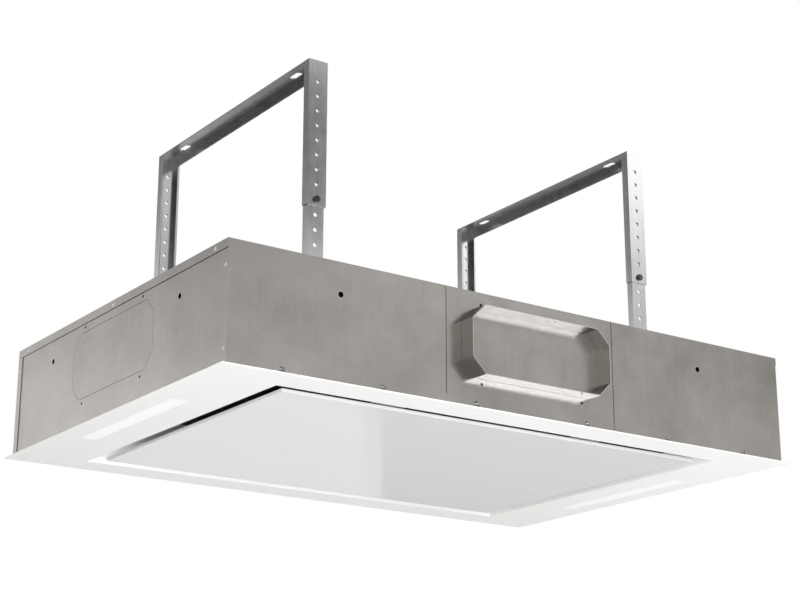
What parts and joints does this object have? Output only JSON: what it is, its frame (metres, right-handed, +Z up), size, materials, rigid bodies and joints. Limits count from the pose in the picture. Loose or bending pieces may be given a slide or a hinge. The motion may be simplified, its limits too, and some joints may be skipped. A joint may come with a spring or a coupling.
{
  "type": "ceiling range hood",
  "caption": "Built-in ceiling range hood: flat steel box with white trim and flush suction panel, strip lamps, eight-sided outlet with flap, inner blower, height-adjustable hangers.",
  "frame": {"origin": "middle of the ceiling plane, which is the upper face of the trim flange", "axes": "+X along the long side, +Y along the short side away from the outlet, +Z up"},
  "size_m": [0.9, 0.614, 0.4515],
  "materials": {
    "box_steel": "satin",
    "inner_steel": "satin",
    "hanger_zinc": "satin",
    "zinc": "satin",
    "bolt_dark": "satin",
    "screw_chrome": "polished",
    "rivet_aluminium": "satin",
    "white_enamel": "gloss",
    "white_gloss": "gloss",
    "filter_aluminium": "satin",
    "motor_aluminium": "satin",
    "black_plastic": "matte",
    "grey_plastic": "matte",
    "opal": "satin",
    "board_white": "matte",
    "board_green": "satin",
    "rubber": "matte"
  },
  "bodies": {
    "housing": {"front_wall_left": "box_steel", "front_wall_right": "box_steel", "front_outlet_plate": "box_steel", "rear_wall_left": "box_steel", "rear_wall_right": "box_steel", "rear_access_plate": "box_steel", "side_wall_left": "box_steel", "side_wall_right": "box_steel", "top_cover": "box_steel", "rivets": "rivet_aluminium", "ceiling_trim_frame": "white_enamel", "trim_screws": "screw_chrome", "hinge_brackets": "inner_steel", "hinge_pins": "zinc", "magnet_catches": "black_plastic", "filter_deck": "white_enamel", "filter_frame_left": "filter_aluminium", "filter_frame_right": "filter_aluminium", "filter_mesh_left": "filter_aluminium", "filter_mesh_right": "filter_aluminium", "lamp_lens_left": "opal", "lamp_lens_right": "opal", "lamp_housing_left": "inner_steel", "lamp_housing_right": "inner_steel", "lamp_board_left": "board_white", "lamp_board_right": "board_white", "outlet_collar": "box_steel", "scroll_band": "inner_steel", "scroll_top_plate": "inner_steel", "scroll_bottom_plate": "inner_steel", "inlet_ring": "inner_steel", "motor_body": "motor_aluminium", "blower_buffers": "rubber", "blower_screws": "zinc", "control_box": "grey_plastic", "control_box_lid": "grey_plastic", "control_board": "board_green", "terminal_block": "grey_plastic", "run_capacitor": "grey_plastic", "cable_gland": "black_plastic", "motor_cable": "rubber", "lamp_cables": "rubber", "hanger_leg_front_left": "hanger_zinc", "hanger_leg_front_right": "hanger_zinc", "hanger_leg_rear_left": "hanger_zinc", "hanger_leg_rear_right": "hanger_zinc", "foot_bolts": "zinc"},
    "panel": {"suction_panel": "white_gloss", "panel_tray": "inner_steel", "panel_hinge_arms": "inner_steel"},
    "damper": {"damper_flap": "box_steel", "damper_spindle": "zinc"},
    "fan": {"impeller": "black_plastic", "motor_shaft": "zinc"},
    "yoke_left": {"hanger_yoke_left": "hanger_zinc", "yoke_bolts_left": "bolt_dark"},
    "yoke_right": {"hanger_yoke_right": "hanger_zinc", "yoke_bolts_right": "bolt_dark"},
    "latch_left": {"filter_latch_left": "black_plastic"},
    "latch_right": {"filter_latch_right": "black_plastic"}
  },
  "joints": [
    {"name": "panel_hinge", "type": "hinge", "parent": "housing", "child": "panel", "pos_m": [0, 0.222, 0.0085], "axis": [1, 0, 0], "range_deg": [0, 88]},
    {"name": "damper_hinge", "type": "hinge", "parent": "housing", "child": "damper", "pos_m": [0, -0.2865, 0.095], "axis": [-1, 0, 0], "range_deg": [0, 70]},
    {"name": "fan_spin", "type": "hinge", "parent": "housing", "child": "fan", "pos_m": [0.0697, -0.0635, 0.083], "axis": [0, 0, 1], "continuous": true},
    {"name": "yoke_left_slide", "type": "slide", "parent": "housing", "child": "yoke_left", "axis": [0, 0, 1], "range_m": [0, 0.12]},
    {"name": "yoke_right_slide", "type": "slide", "parent": "housing", "child": "yoke_right", "axis": [0, 0, 1], "range_m": [0, 0.12]},
    {"name": "latch_left_slide", "type": "slide", "parent": "housing", "child": "latch_left", "axis": [0, 1, 0], "range_m": [0, 0.006], "stiffness_N_per_m": 300},
    {"name": "latch_right_slide", "type": "slide", "parent": "housing", "child": "latch_right", "axis": [0, 1, 0], "range_m": [0, 0.006], "stiffness_N_per_m": 300}
  ]
}
